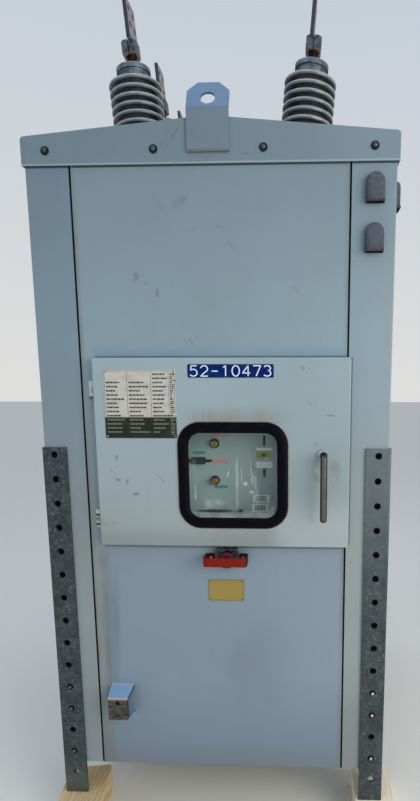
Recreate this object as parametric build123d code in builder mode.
# Outdoor vacuum circuit breaker: sheet-steel cabinet on perforated angle legs,
# with a gable roof, six leaning bushings and a hinged mechanism door.
# Millimetres. X to the right, Y to the back, Z up, origin on the floor under
# the middle of the cabinet. The front of the cabinet faces -Y.

from build123d import *
from math import cos, hypot, radians, sin, tan
import os

os.makedirs("parts", exist_ok=True)

# Driving dimensions: timber blocks under the legs
block_width = 126
block_height = 89
block_length = 187
block_inset = 22.35
block_overhang = 11
skewed_block_width = 139
skewed_block_length = 171
skewed_block_inset = 51.35
skewed_block_overhang = 50
skewed_block_angle = 8.5

# Driving dimensions: legs, a 3 inch angle punched every 3 inches
leg_face = 76.2
leg_thickness = 6.35
leg_length = 1165
leg_hole_pitch = 76.2
leg_hole_diameter = 20.6
leg_corner_radius = 6

# Driving dimensions: cabinet shell
sheet = 3
cabinet_width = 1042
cabinet_depth = 1250
cabinet_clearance_below = 110
return_width = 125
landing_width = 26
panel_seam = 4
fold_radius = 6

# Driving dimensions: roof
skirt_bottom_height = 1958
eave_height = 2034
roof_slope = 5
roof_gap = 3
eave_radius = 10
collar_radius = 98
collar_height = 14

# Driving dimensions: lifting lugs
lug_width = 117
lug_thickness = 6.35
lug_foot_rise = 28
lug_fold_rise = 17
lug_lean = 25
lug_ear_length = 85
lug_corner = 29
lug_hole_radius = 20.5
lug_hole_rise = 30

# Driving dimensions: bushings
bushing_offset = 260
phase_pitch = 350
shed_radius = 82
core_radius = 50
shed_count = 8
shed_pitch = 25
first_shed_rise = 67
shed_rim = 8
shed_underside_drop = 5
shed_crown = 14
porcelain_height = 258
porcelain_wall = 14
tank_sleeve_length = 120
stub_gap = 1
cap_radius = 47
cap_height = 31
cap_flange_radius = 53
cap_flange_height = 15
stud_radius = 14.3
stud_rise = 37
clamp_width = 48
clamp_depth = 54
clamp_height = 40
clamp_chamfer = 9
clamp_bore_gap = 2.2
clamp_bore_depth = 28
clamp_split = 4
pad_root = 4
pad_offset = 7
pad_width = 82
pad_height = 116
pad_thickness = 12
pad_corner = 3
pad_hole_pitch = 44.45
pad_hole_diameter = 14.3
pad_top_margin = 27

# Driving dimensions: mechanism door and its opening
door_width = 752
door_height = 562
door_offset = 26
door_bottom_height = 868
door_hinge_overlap = 25
door_latch_overlap = 42
door_edge_overlap = 23
door_depth = 25
door_clearance = 5
door_corner_radius = 8
box_depth = 270
box_lip = 14
mechanism_plate_setback = 95
plate_clearance = 1

# Driving dimensions: window
window_x = 58
window_drop = 345
gasket_width = 326
gasket_height = 319
gasket_radius = 67
gasket_bead = 32
gasket_proud = 4
gasket_back_margin = 4
glass_inset = 1
glass_thickness = 5
glass_seat = 12
cutout_margin = 16
rubber_gap = 0.3

# Driving dimensions: hinges
hinge_low_margin = 80
hinge_high_margin = 93
hinge_length = 54
hinge_axis_from_door = 7
hinge_axis_from_panel = 12
knuckle_radius = 5.5
hinge_pin_radius = 2.5
hinge_leaf = 2.5
hinge_leaf_width = 15
hinge_play = 0.4

# Driving dimensions: door handle
handle_x = 325
handle_rise = 279
handle_drop = 190
handle_radius = 10
handle_reach = 48
handle_bend_radius = 22
handle_play = 0.5
escutcheon_radius = 19
escutcheon_height = 7
escutcheon_chamfer = 1.5
shaft_tail = 22

# Driving dimensions: plates on the door and the front
nameplate_x = -211.5
nameplate_width = 211
nameplate_height = 198
nameplate_top_margin = 35
number_plate_x = 55.5
number_plate_width = 249
number_plate_height = 38
number_plate_top_margin = 19
blank_plate_x = 27
blank_plate_width = 112
blank_plate_height = 70
blank_plate_drop = 75
plate_thickness = 1.5
plate_corner = 4

# Driving dimensions: controls behind the window
button_x = -17
close_button_rise = 83
open_button_drop = 36
button_radius = 14
button_rise = 22
button_collar_radius = 18
button_edge = 3
indicator_x = -69
indicator_rise = 28
indicator_width = 44
indicator_height = 22
indicator_depth = 14
indicator_rim = 5
indicator_recess = 2

# Driving dimensions: trip handle
trip_x = 33
trip_drop = 41
trip_strap_length = 131
trip_strap_height = 27
trip_strap_thickness = 5
trip_strap_corner = 9
trip_strap_end = 28
trip_reach = 62
trip_loop_depth = 52
trip_boss_radius = 21
trip_boss_thickness = 12
trip_boss_rise = 20
trip_rod_radius = 7
trip_rod_play = 0.6
trip_rod_tail = 45
trip_stroke = 25
trip_guard_width = 64
trip_guard_depth = 15
trip_guard_height = 58
trip_guard_wall = 3

# Driving dimensions: vent hoods
hood_width = 56
hood_height = 83
hood_depth = 22
hood_wall = 3
front_hood_x = 462
front_hood_drops = (243, 112)
side_hood_setback = 87
side_hood_drop = 106

# Driving dimensions: ground pad
ground_pad_x = -315
ground_pad_width = 61
ground_pad_wall_width = 75
ground_pad_top = 394
ground_pad_drop = 19
ground_pad_reach = 58
ground_pad_face = 73
ground_pad_return_drop = 14
ground_pad_thickness = 9
ground_pad_fold_radius = 6
ground_pad_hole_pitch = 44.45
ground_pad_hole_diameter = 14.3

# Derived places
foot_z = block_height
floor_z = foot_z + cabinet_clearance_below
half_width = cabinet_width / 2
half_depth = cabinet_depth / 2
front_y = -half_depth
seam_x = half_width - return_width
panel_half = seam_x - panel_seam
inner_half_width = half_width - sheet
landing_y = half_depth - 2 * sheet
door_x = door_offset
door_z = foot_z + door_bottom_height + door_height / 2
door_left = door_x - door_width / 2
door_top_height = door_bottom_height + door_height
hinge_heights = (door_bottom_height + hinge_low_margin, door_top_height - hinge_high_margin)
window_z = door_top_height - window_drop
close_button_z = window_z + close_button_rise
open_button_z = window_z - open_button_drop
indicator_z = window_z + indicator_rise
trip_z = door_bottom_height - trip_drop
blank_plate_top = trip_z - blank_plate_drop
handle_top = door_bottom_height + handle_rise
handle_bottom = handle_top - handle_drop
opening_width = door_width - door_hinge_overlap - door_latch_overlap
opening_height = door_height - 2 * door_edge_overlap
opening_x = door_x + (door_hinge_overlap - door_latch_overlap) / 2
opening_z = door_z
door_back_y = front_y - door_clearance
door_front_y = door_back_y - door_depth
door_skin_y = door_front_y + sheet
handle_front_y = door_front_y - handle_reach - handle_radius
slope = radians(roof_slope)
roof_half_width = half_width + roof_gap + sheet
roof_half_depth = half_depth + roof_gap + sheet
eave_z = foot_z + eave_height
wall_height = eave_z - sheet - floor_z
ridge_z = eave_z + roof_half_width * tan(slope)
skirt_bottom_z = foot_z + skirt_bottom_height


def roof_z(x):
    """Height of the roof's outer surface at a distance x from the ridge."""
    return ridge_z - abs(x) * tan(slope)


def save(builder, name):
    """Label a finished piece and write its file."""
    builder.part.label = name
    export_step(builder.part, f"parts/{name}.step")


# Timber blocks under the legs, the front left one laid askew and forward. The
# rear ones reach as far back as the door handle reaches forward, which keeps
# the origin under the middle of the whole.
leg_outer_x = half_width + leg_thickness
leg_outer_y = half_depth + leg_thickness
block_offset = leg_outer_x - block_inset
skewed_block_offset = leg_outer_x - skewed_block_inset
front_block_y = -leg_outer_y - block_overhang + block_length / 2
skewed_block_y = -leg_outer_y - skewed_block_overhang + skewed_block_length / 2
rear_block_y = -handle_front_y - block_length / 2
for x, y, turn, width, length, tag in (
    (-skewed_block_offset, skewed_block_y, skewed_block_angle, skewed_block_width, skewed_block_length, "front_left"),
    (block_offset, front_block_y, 0, block_width, block_length, "front_right"),
    (-block_offset, rear_block_y, 0, block_width, block_length, "rear_left"),
    (block_offset, rear_block_y, 0, block_width, block_length, "rear_right"),
):
    with BuildPart() as block:
        with Locations(Location((x, y, 0), (0, 0, turn))):
            Box(width, length, block_height, align=(Align.CENTER, Align.CENTER, Align.MIN))
    save(block, f"timber_block_{tag}")

# Perforated angle legs, wrapped around the cabinet's corners
leg_hole_count = int((leg_length - leg_hole_diameter) // leg_hole_pitch)
leg_hole_heights = [foot_z + leg_hole_pitch * (n + 1) for n in range(leg_hole_count)]
leg_hole_x = leg_outer_x - leg_face / 2
leg_hole_y = leg_outer_y - leg_face / 2
for side, end, tag in (
    (-1, -1, "front_left"),
    (1, -1, "front_right"),
    (-1, 1, "rear_left"),
    (1, 1, "rear_right"),
):
    with BuildPart() as leg:
        with BuildSketch(Plane.XY.offset(foot_z)):
            with Locations((side * (leg_outer_x - leg_face / 2), end * (leg_outer_y - leg_thickness / 2))):
                Rectangle(leg_face, leg_thickness)
            with Locations((side * (leg_outer_x - leg_thickness / 2), end * (leg_outer_y - leg_face / 2))):
                Rectangle(leg_thickness, leg_face)
        extrude(amount=leg_length)
        corner = leg.edges().filter_by(Axis.Z).sort_by(lambda e: side * e.center().X + end * e.center().Y)[-1]
        fillet(corner, leg_corner_radius)
        front_face = Plane(origin=(0, end * leg_outer_y, 0), x_dir=(1, 0, 0), z_dir=(0, end, 0))
        with BuildSketch(front_face):
            for z in leg_hole_heights:
                y_local = (front_face.to_local_coords(Vector(side * leg_hole_x, end * leg_outer_y, z)))
                with Locations((y_local.X, y_local.Y)):
                    Circle(leg_hole_diameter / 2)
        extrude(amount=-leg_thickness, mode=Mode.SUBTRACT)
        side_face = Plane(origin=(side * leg_outer_x, 0, 0), x_dir=(0, 1, 0), z_dir=(side, 0, 0))
        with BuildSketch(side_face):
            for z in leg_hole_heights:
                x_local = side_face.to_local_coords(Vector(side * leg_outer_x, end * leg_hole_y, z))
                with Locations((x_local.X, x_local.Y)):
                    Circle(leg_hole_diameter / 2)
        extrude(amount=-leg_thickness, mode=Mode.SUBTRACT)
    save(leg, f"leg_{tag}")

# Folded side sheets: a web with a return and a landing flange at each end
for side, tag in ((-1, "left"), (1, "right")):
    with BuildPart() as side_sheet:
        with BuildSketch(Plane.XY.offset(floor_z)):
            with Locations((side * (half_width - sheet / 2), 0)):
                Rectangle(sheet, cabinet_depth)
            with Locations(*[(side * (half_width - return_width / 2), end * (half_depth - sheet / 2)) for end in (-1, 1)]):
                Rectangle(return_width, sheet)
            with Locations(*[(side * (seam_x - landing_width / 2 + sheet), end * (landing_y + sheet / 2)) for end in (-1, 1)]):
                Rectangle(landing_width + 2 * sheet, sheet)
        extrude(amount=wall_height)
        corners = side_sheet.edges().filter_by(Axis.Z).sort_by(lambda e: side * e.center().X).group_by(lambda e: round(side * e.center().X, 3))[-1]
        fillet(corners, sheet)
    save(side_sheet, f"side_sheet_{tag}")

# Floor of the cabinet
with BuildPart() as base_pan:
    with Locations((0, 0, floor_z)):
        Box(2 * inner_half_width, 2 * landing_y, sheet, align=(Align.CENTER, Align.CENTER, Align.MIN))
save(base_pan, "base_pan")

# Front panel with the mechanism opening and the hole for the trip rod
with BuildPart() as front_panel:
    with Locations((0, front_y + sheet / 2, floor_z)):
        Box(2 * panel_half, sheet, wall_height, align=(Align.CENTER, Align.CENTER, Align.MIN))
    with Locations((opening_x, front_y + sheet / 2, opening_z)):
        Box(opening_width, 3 * sheet, opening_height, mode=Mode.SUBTRACT)
    with Locations(Location((trip_x, front_y, foot_z + trip_z), (90, 0, 0))):
        Cylinder(trip_rod_radius + trip_rod_play, 4 * sheet, mode=Mode.SUBTRACT)
save(front_panel, "front_panel")

# Rear panel, plain
with BuildPart() as rear_panel:
    with Locations((0, half_depth - sheet / 2, floor_z)):
        Box(2 * panel_half, sheet, wall_height, align=(Align.CENTER, Align.CENTER, Align.MIN))
save(rear_panel, "rear_panel")

# Mechanism box behind the opening, its edge turned out through the front panel
with BuildPart() as mechanism_box:
    with Locations((opening_x, front_y - box_lip, opening_z)):
        Box(opening_width, box_lip + box_depth, opening_height, align=(Align.CENTER, Align.MIN, Align.CENTER))
        Box(
            opening_width - 2 * sheet,
            box_lip + box_depth - sheet,
            opening_height - 2 * sheet,
            align=(Align.CENTER, Align.MIN, Align.CENTER),
            mode=Mode.SUBTRACT,
        )
save(mechanism_box, "mechanism_box")

# Mechanism face plate and the controls seen through the window
plate_y = front_y + mechanism_plate_setback
with BuildPart() as mechanism_plate:
    with Locations((opening_x, plate_y, opening_z)):
        Box(opening_width - 2 * sheet, sheet, opening_height - 2 * sheet, align=(Align.CENTER, Align.MIN, Align.CENTER))
save(mechanism_plate, "mechanism_plate")

for z, tag in ((close_button_z, "close_button"), (open_button_z, "open_button")):
    with BuildPart() as button:
        with BuildSketch(Plane(origin=(button_x, plate_y, foot_z + z), x_dir=(1, 0, 0), z_dir=(0, -1, 0))):
            Circle(button_collar_radius)
        extrude(amount=button_rise / 3)
        with BuildSketch(Plane(origin=(button_x, plate_y - button_rise / 3, foot_z + z), x_dir=(1, 0, 0), z_dir=(0, -1, 0))):
            Circle(button_radius)
        extrude(amount=2 * button_rise / 3)
        fillet(button.faces().sort_by(Axis.Y)[0].edges(), button_edge)
    save(button, tag)

with BuildPart() as indicator:
    with Locations((indicator_x, plate_y, foot_z + indicator_z)):
        Box(indicator_width, indicator_depth, indicator_height, align=(Align.CENTER, Align.MAX, Align.CENTER))
    with Locations((indicator_x, plate_y - indicator_depth, foot_z + indicator_z)):
        Box(
            indicator_width - 2 * indicator_rim,
            2 * indicator_recess,
            indicator_height - 2 * indicator_rim,
            mode=Mode.SUBTRACT,
        )
save(indicator, "position_indicator")

# Roof: a gable lid with a skirt all round and a raised collar for each bushing
bushing_places = [(side, n) for side in (-1, 1) for n in (-1, 0, 1)]


def bushing_plane(side, n, rise=0):
    """Plane on the roof under a bushing, its z along the leaning axis."""
    x = side * bushing_offset
    along = Vector(side * sin(slope), 0, cos(slope))
    foot = Vector(x, n * phase_pitch, roof_z(x))
    return Plane(origin=foot + along * rise, x_dir=(cos(slope), 0, -side * sin(slope)), z_dir=along)


with BuildPart() as roof:
    with BuildSketch(Plane.XZ.offset(-roof_half_depth)):
        with BuildLine():
            Polyline(
                (-roof_half_width, skirt_bottom_z),
                (roof_half_width, skirt_bottom_z),
                (roof_half_width, eave_z),
                (0, ridge_z),
                (-roof_half_width, eave_z),
                close=True,
            )
        make_face()
    extrude(amount=2 * roof_half_depth)
    eaves = roof.edges().filter_by(Axis.Y).filter_by_position(Axis.Z, eave_z - sheet, eave_z + sheet)
    fillet(eaves, eave_radius)
    with BuildSketch(Plane.XZ.offset(-roof_half_depth + sheet)):
        with BuildLine():
            Polyline(
                (-roof_half_width + sheet, skirt_bottom_z),
                (roof_half_width - sheet, skirt_bottom_z),
                (roof_half_width - sheet, eave_z - sheet),
                (0, ridge_z - sheet),
                (-roof_half_width + sheet, eave_z - sheet),
                close=True,
            )
        make_face()
    extrude(amount=2 * (roof_half_depth - sheet), mode=Mode.SUBTRACT)
    for side, n in bushing_places:
        with BuildSketch(bushing_plane(side, n, -sheet / 2)):
            Circle(collar_radius)
        extrude(amount=collar_height + sheet / 2)
    for side, n in bushing_places:
        with BuildSketch(bushing_plane(side, n, -2 * sheet)):
            Circle(core_radius)
        extrude(amount=collar_height + 3 * sheet, mode=Mode.SUBTRACT)
save(roof, "roof")

# Lifting lugs on the gable ends, folded back above the roof
lean = radians(lug_lean)
lug_bottom_z = skirt_bottom_z + lug_foot_rise
lug_fold_z = ridge_z + lug_fold_rise
for end, tag in ((-1, "front"), (1, "rear")):
    with BuildPart() as lug:
        face_plane = Plane(origin=(0, end * roof_half_depth, 0), x_dir=(-end, 0, 0), z_dir=(0, end, 0))
        with BuildSketch(face_plane):
            with Locations((0, (lug_bottom_z + lug_fold_z) / 2)):
                Rectangle(lug_width, lug_fold_z - lug_bottom_z)
        extrude(amount=lug_thickness)
        fold = Plane(
            origin=(0, end * roof_half_depth, lug_fold_z),
            x_dir=(-end, 0, 0),
            z_dir=(0, end * cos(lean), sin(lean)),
        )
        with BuildSketch(fold):
            with BuildLine():
                Polyline(
                    (-lug_width / 2, 0),
                    (lug_width / 2, 0),
                    (lug_width / 2, lug_ear_length - lug_corner),
                    (lug_width / 2 - lug_corner, lug_ear_length),
                    (-lug_width / 2 + lug_corner, lug_ear_length),
                    (-lug_width / 2, lug_ear_length - lug_corner),
                    close=True,
                )
            make_face()
            with Locations((0, lug_hole_rise)):
                Circle(lug_hole_radius, mode=Mode.SUBTRACT)
        extrude(amount=lug_thickness)
        with BuildSketch(Plane.YZ.offset(-lug_width / 2)):
            with BuildLine():
                base_y = end * roof_half_depth
                Polyline(
                    (base_y, lug_fold_z),
                    (base_y + end * lug_thickness, lug_fold_z),
                    (base_y + end * lug_thickness * cos(lean), lug_fold_z + lug_thickness * sin(lean)),
                    close=True,
                )
            make_face()
        extrude(amount=lug_width)
    save(lug, f"lifting_lug_{tag}")

# Bushings: porcelain with sheds, a stub through the roof, cap and stud terminal
shed_tops = [first_shed_rise + shed_pitch * k for k in range(shed_count)]
stub_radius = core_radius - stub_gap
place_names = {-1: "front", 0: "middle", 1: "rear"}
for side, n in bushing_places:
    tag = f"{'left' if side < 0 else 'right'}_{place_names[n]}"
    with BuildPart() as porcelain:
        with BuildSketch(Plane.XZ):
            with BuildLine():
                points = [(0, -tank_sleeve_length), (stub_radius, -tank_sleeve_length), (stub_radius, collar_height)]
                points.append((core_radius + porcelain_wall, collar_height))
                for top in shed_tops:
                    points.append((core_radius, top - shed_underside_drop))
                    points.append((shed_radius, top - shed_underside_drop - shed_rim))
                    points.append((shed_radius, top - shed_underside_drop))
                points.append((core_radius, shed_tops[-1] + shed_crown))
                points.append((core_radius, porcelain_height))
                points.append((0, porcelain_height))
                Polyline(*points, close=True)
            make_face()
        revolve(axis=Axis.Z)
    placed = Compound([bushing_plane(side, n).location * solid for solid in porcelain.part.solids()])
    with BuildPart() as porcelain_placed:
        add(placed.solids())
    save(porcelain_placed, f"bushing_{tag}")

    with BuildPart() as terminal:
        with BuildSketch(Plane.XZ):
            with BuildLine():
                cap_top = porcelain_height + cap_height
                Polyline(
                    (0, porcelain_height),
                    (cap_radius, porcelain_height),
                    (cap_radius, cap_top - cap_flange_height),
                    (cap_flange_radius, cap_top - cap_flange_height),
                    (cap_flange_radius, cap_top),
                    (stud_radius, cap_top),
                    (stud_radius, cap_top + stud_rise),
                    (0, cap_top + stud_rise),
                    close=True,
                )
            make_face()
        revolve(axis=Axis.Z)
        clamp_foot = cap_top + stud_rise
        with Locations((0, 0, clamp_foot)):
            Box(clamp_width, clamp_depth, clamp_height, align=(Align.CENTER, Align.CENTER, Align.MIN))
        chamfer(terminal.edges().filter_by(Axis.Z).filter_by_position(Axis.Z, clamp_foot, clamp_foot + clamp_height), clamp_chamfer)
        with BuildSketch(Plane.XY.offset(clamp_foot)):
            Circle(stud_radius + clamp_bore_gap)
            Circle(stud_radius, mode=Mode.SUBTRACT)
        extrude(amount=clamp_bore_depth, mode=Mode.SUBTRACT)
        with Locations((0, -stud_radius - clamp_bore_gap / 2, clamp_foot)):
            Box(clamp_split, clamp_depth, clamp_height, align=(Align.CENTER, Align.MAX, Align.MIN), mode=Mode.SUBTRACT)
        with BuildSketch(Plane.YZ.offset(-side * pad_offset - pad_thickness / 2)):
            with Locations((0, clamp_foot + clamp_height + (pad_height - pad_root) / 2)):
                RectangleRounded(pad_width, pad_height + pad_root, pad_corner)
            pad_row = clamp_foot + clamp_height + pad_height - pad_top_margin
            for z in (pad_row, pad_row - pad_hole_pitch):
                with Locations((-pad_hole_pitch / 2, z), (pad_hole_pitch / 2, z)):
                    Circle(pad_hole_diameter / 2, mode=Mode.SUBTRACT)
        extrude(amount=pad_thickness)
    placed = Compound([bushing_plane(side, n).location * solid for solid in terminal.part.solids()])
    with BuildPart() as terminal_placed:
        add(placed.solids())
    save(terminal_placed, f"terminal_{tag}")

# Mechanism door: a folded pan with a window cut-out and its hinge knuckles
hinge_x = door_left - hinge_axis_from_door
hinge_y = front_y - hinge_axis_from_panel
front_plane = Plane(origin=(0, door_front_y, foot_z), x_dir=(1, 0, 0), z_dir=(0, -1, 0))
cutout_width = gasket_width - 2 * cutout_margin
cutout_height = gasket_height - 2 * cutout_margin
cutout_radius = gasket_radius - cutout_margin
with BuildPart() as door:
    with Locations((door_x, door_front_y, door_z)):
        Box(door_width, door_depth, door_height, align=(Align.CENTER, Align.MIN, Align.CENTER))
    fillet(door.edges().filter_by(Axis.Y), door_corner_radius)
    fillet(door.faces().sort_by(Axis.Y)[0].edges(), sheet)
    with Locations((door_x, door_skin_y, door_z)):
        Box(
            door_width - 2 * sheet,
            door_depth,
            door_height - 2 * sheet,
            align=(Align.CENTER, Align.MIN, Align.CENTER),
            mode=Mode.SUBTRACT,
        )
    with BuildSketch(front_plane):
        with Locations((window_x, window_z)):
            RectangleRounded(cutout_width, cutout_height, cutout_radius)
        with Locations((handle_x, handle_top)):
            Circle(handle_radius + handle_play)
    extrude(amount=-2 * sheet, mode=Mode.SUBTRACT)
    for z in hinge_heights:
        leaf_y = hinge_y - knuckle_radius
        with Locations((door_left, hinge_y, foot_z + z)):
            Box(
                hinge_axis_from_door,
                hinge_leaf,
                hinge_length / 3 - 2 * hinge_play,
                align=(Align.MAX, Align.CENTER, Align.CENTER),
            )
        with Locations((hinge_x, hinge_y, foot_z + z)):
            Cylinder(knuckle_radius, hinge_length / 3 - 2 * hinge_play)
            Cylinder(hinge_pin_radius + hinge_play, hinge_length, mode=Mode.SUBTRACT)
save(door, "door")

# Hinges: the fixed leaf, its two knuckles and the pin
for z, tag in zip(hinge_heights, ("lower", "upper")):
    with BuildPart() as hinge:
        with Locations((hinge_x, front_y, foot_z + z)):
            Box(hinge_leaf_width, hinge_leaf, hinge_length, align=(Align.MAX, Align.MAX, Align.CENTER))
        for step in (-1, 1):
            with Locations((hinge_x, hinge_y, foot_z + z + step * hinge_length / 3)):
                Cylinder(knuckle_radius, hinge_length / 3)
                Box(
                    2 * knuckle_radius,
                    hinge_axis_from_panel,
                    hinge_length / 3,
                    align=(Align.MAX, Align.MIN, Align.CENTER),
                )
        with Locations((hinge_x, hinge_y, foot_z + z)):
            Cylinder(hinge_pin_radius, hinge_length)
    save(hinge, f"hinge_{tag}")

# Window: rubber gasket with a groove for the door skin, and the pane
with BuildPart() as gasket:
    with BuildSketch(front_plane.offset(gasket_proud)):
        with Locations((window_x, window_z)):
            RectangleRounded(gasket_width, gasket_height, gasket_radius)
            RectangleRounded(
                gasket_width - 2 * gasket_bead,
                gasket_height - 2 * gasket_bead,
                gasket_radius - gasket_bead,
                mode=Mode.SUBTRACT,
            )
    extrude(amount=-gasket_proud)
    with BuildSketch(front_plane):
        with Locations((window_x, window_z)):
            RectangleRounded(cutout_width, cutout_height, cutout_radius)
            RectangleRounded(
                gasket_width - 2 * gasket_bead,
                gasket_height - 2 * gasket_bead,
                gasket_radius - gasket_bead,
                mode=Mode.SUBTRACT,
            )
    extrude(amount=-3 * sheet)
    with BuildSketch(front_plane.offset(-sheet)):
        with Locations((window_x, window_z)):
            RectangleRounded(
                gasket_width - 2 * gasket_back_margin,
                gasket_height - 2 * gasket_back_margin,
                gasket_radius - gasket_back_margin,
            )
            RectangleRounded(cutout_width, cutout_height, cutout_radius, mode=Mode.SUBTRACT)
    extrude(amount=-gasket_proud)
    with BuildSketch(front_plane.offset(-glass_inset)):
        with Locations((window_x, window_z)):
            RectangleRounded(
                gasket_width - 2 * gasket_bead + 2 * glass_seat,
                gasket_height - 2 * gasket_bead + 2 * glass_seat,
                gasket_radius - gasket_bead + glass_seat,
            )
    extrude(amount=-glass_thickness, mode=Mode.SUBTRACT)
save(gasket, "window_gasket")

with BuildPart() as glass:
    with BuildSketch(front_plane.offset(-glass_inset)):
        with Locations((window_x, window_z)):
            RectangleRounded(
                gasket_width - 2 * gasket_bead + 2 * glass_seat,
                gasket_height - 2 * gasket_bead + 2 * glass_seat,
                gasket_radius - gasket_bead + glass_seat,
            )
    extrude(amount=-glass_thickness)
save(glass, "window_glass")

# Door handle: a bent bar turning in a round escutcheon
with BuildPart() as escutcheon:
    with BuildSketch(front_plane):
        with Locations((handle_x, handle_top)):
            Circle(escutcheon_radius)
            Circle(handle_radius + handle_play, mode=Mode.SUBTRACT)
    extrude(amount=escutcheon_height)
    chamfer(escutcheon.faces().sort_by(Axis.Y)[0].edges(), escutcheon_chamfer)
save(escutcheon, "handle_escutcheon")

with BuildPart() as handle:
    with BuildLine() as handle_path:
        FilletPolyline(
            (handle_x, door_skin_y + shaft_tail, foot_z + handle_top),
            (handle_x, door_front_y - handle_reach, foot_z + handle_top),
            (handle_x, door_front_y - handle_reach, foot_z + handle_bottom),
            radius=handle_bend_radius,
        )
    with BuildSketch(Plane(origin=handle_path.line @ 0, z_dir=handle_path.line % 0)):
        Circle(handle_radius)
    sweep()
    fillet(handle.faces().sort_by(Axis.Z)[0].edges(), 0.8 * handle_radius)
save(handle, "door_handle")

# Plates: nameplate and number plate on the door, blank plate below it
for x, y, top, width, height, tag in (
    (nameplate_x, door_front_y, door_top_height - nameplate_top_margin, nameplate_width, nameplate_height, "nameplate"),
    (number_plate_x, door_front_y, door_top_height - number_plate_top_margin, number_plate_width, number_plate_height, "number_plate"),
    (blank_plate_x, front_y, blank_plate_top, blank_plate_width, blank_plate_height, "blank_plate"),
):
    with BuildPart() as plate:
        with Locations((x, y, foot_z + top)):
            Box(width, plate_thickness, height, align=(Align.CENTER, Align.MAX, Align.MAX))
        fillet(plate.edges().filter_by(Axis.Y), plate_corner)
    save(plate, tag)

# Trip handle: a strap bent into an open loop, on a pull rod with a round boss
trip_front_y = front_y - trip_reach
trip_back_y = trip_front_y + trip_loop_depth
trip_height = foot_z + trip_z
with BuildPart() as trip_handle:
    with BuildSketch(Plane.XY.offset(trip_height - trip_strap_height / 2)):
        with BuildLine():
            half_strap = trip_strap_length / 2
            FilletPolyline(
                (trip_x - half_strap + trip_strap_end, trip_back_y),
                (trip_x - half_strap, trip_back_y),
                (trip_x - half_strap, trip_front_y),
                (trip_x + half_strap, trip_front_y),
                (trip_x + half_strap, trip_back_y),
                (trip_x + half_strap - trip_strap_end, trip_back_y),
                radius=trip_strap_corner,
            )
            offset(amount=trip_strap_thickness, side=Side.LEFT)
        make_face()
    extrude(amount=trip_strap_height)
    strap_inside_y = trip_front_y + trip_strap_thickness
    rod_plane = Plane(origin=(trip_x, strap_inside_y, trip_height), x_dir=(1, 0, 0), z_dir=(0, 1, 0))
    with BuildSketch(rod_plane.offset(-1)):
        Circle(trip_rod_radius)
    extrude(amount=trip_reach + trip_rod_tail)
    with BuildSketch(Plane(origin=(trip_x, front_y - trip_boss_rise, trip_height), x_dir=(1, 0, 0), z_dir=(0, 1, 0))):
        Circle(trip_boss_radius)
    extrude(amount=trip_boss_thickness)
save(trip_handle, "trip_handle")

# Trip guard: a short square tube on the panel, open to the front
with BuildPart() as trip_guard:
    with Locations((trip_x, front_y, trip_height)):
        Box(trip_guard_width, trip_guard_depth, trip_guard_height, align=(Align.CENTER, Align.MAX, Align.CENTER))
        Box(
            trip_guard_width - 2 * trip_guard_wall,
            3 * trip_guard_depth,
            trip_guard_height - 2 * trip_guard_wall,
            mode=Mode.SUBTRACT,
        )
save(trip_guard, "trip_guard")

# Blank-ended vent hoods: round top, open underneath
def hood_solid(name):
    """Build one hood at the origin: back on XZ, bottom on XY, facing -Y."""
    with BuildPart() as hood:
        with BuildSketch(Plane.XZ):
            with BuildLine():
                half = hood_width / 2
                Polyline((-half, hood_height - half), (-half, 0), (half, 0), (half, hood_height - half))
                ThreePointArc((half, hood_height - half), (0, hood_height), (-half, hood_height - half))
            make_face()
        extrude(amount=hood_depth)
        fillet(hood.faces().sort_by(Axis.Y)[0].edges().sort_by(Axis.Z)[1:], hood_depth * 0.4)
        with Locations((0, -hood_wall, 0)):
            Box(
                hood_width - 4 * hood_wall,
                hood_depth - 3 * hood_wall,
                hood_height / 3,
                align=(Align.CENTER, Align.MAX, Align.MIN),
                mode=Mode.SUBTRACT,
            )
    hood.part.label = name
    return hood.part


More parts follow.
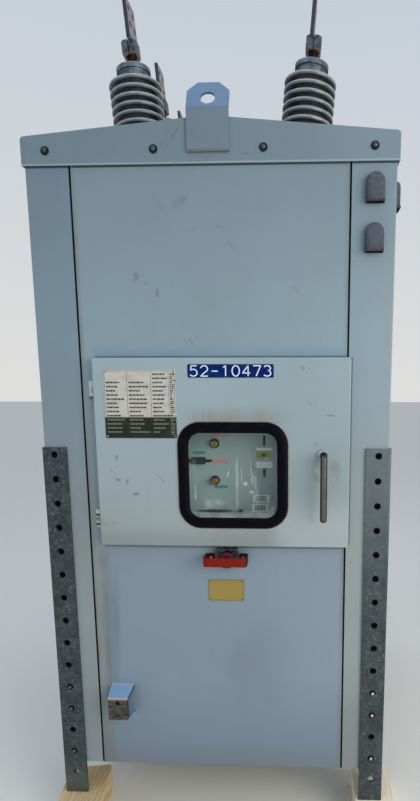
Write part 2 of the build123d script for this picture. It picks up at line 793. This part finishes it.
hood_places = [
    ("vent_hood_lower", Location((front_hood_x, front_y, skirt_bottom_z - front_hood_drops[0]))),
    ("vent_hood_upper", Location((front_hood_x, front_y, skirt_bottom_z - front_hood_drops[1]))),
    ("vent_hood_side", Location((half_width, front_y + side_hood_setback, skirt_bottom_z - side_hood_drop), (0, 0, 90))),
]
for name, place in hood_places:
    with BuildPart() as vent_hood:
        add(place * hood_solid(name))
    save(vent_hood, name)

# Ground pad: a strap bent into a bracket, flared towards the wall, with two
# holes in its front face
top_z = foot_z + ground_pad_top
fold_z = top_z - ground_pad_drop
low_z = fold_z - ground_pad_face
wall_low_z = low_z - ground_pad_return_drop
out_y = front_y - ground_pad_reach
inner_y = out_y + ground_pad_thickness
top_slope = ground_pad_drop / ground_pad_reach
return_slope = ground_pad_return_drop / ground_pad_reach
top_wall = ground_pad_thickness * hypot(1, top_slope)
return_wall = ground_pad_thickness * hypot(1, return_slope)
with BuildPart() as ground_pad:
    with BuildSketch(Plane.YZ.offset(ground_pad_x - ground_pad_wall_width / 2)):
        with BuildLine():
            Polyline(
                (front_y, top_z),
                (out_y, fold_z),
                (out_y, low_z),
                (front_y, wall_low_z),
                (front_y, wall_low_z + return_wall),
                (inner_y, low_z - ground_pad_thickness * return_slope + return_wall),
                (inner_y, fold_z + ground_pad_thickness * top_slope - top_wall),
                (front_y, top_z - top_wall),
                close=True,
            )
        make_face()
    extrude(amount=ground_pad_wall_width)
    folds = ground_pad.edges().filter_by(Axis.X).group_by(Axis.Y)[0]
    fillet(folds, ground_pad_fold_radius)
    with BuildSketch(Plane.XY.offset(wall_low_z)):
        with BuildLine():
            half, wall_half = ground_pad_width / 2, ground_pad_wall_width / 2
            Polyline(
                (ground_pad_x - wall_half, front_y),
                (ground_pad_x - half, out_y),
                (ground_pad_x + half, out_y),
                (ground_pad_x + wall_half, front_y),
                close=True,
            )
        make_face()
    extrude(amount=top_z - wall_low_z, mode=Mode.INTERSECT)
    pad_middle = low_z + ground_pad_face / 2
    for step in (-1, 1):
        with Locations(Location((ground_pad_x, out_y, pad_middle + step * ground_pad_hole_pitch / 2), (90, 0, 0))):
            Cylinder(ground_pad_hole_diameter / 2, 3 * ground_pad_thickness, mode=Mode.SUBTRACT)
save(ground_pad, "ground_pad")
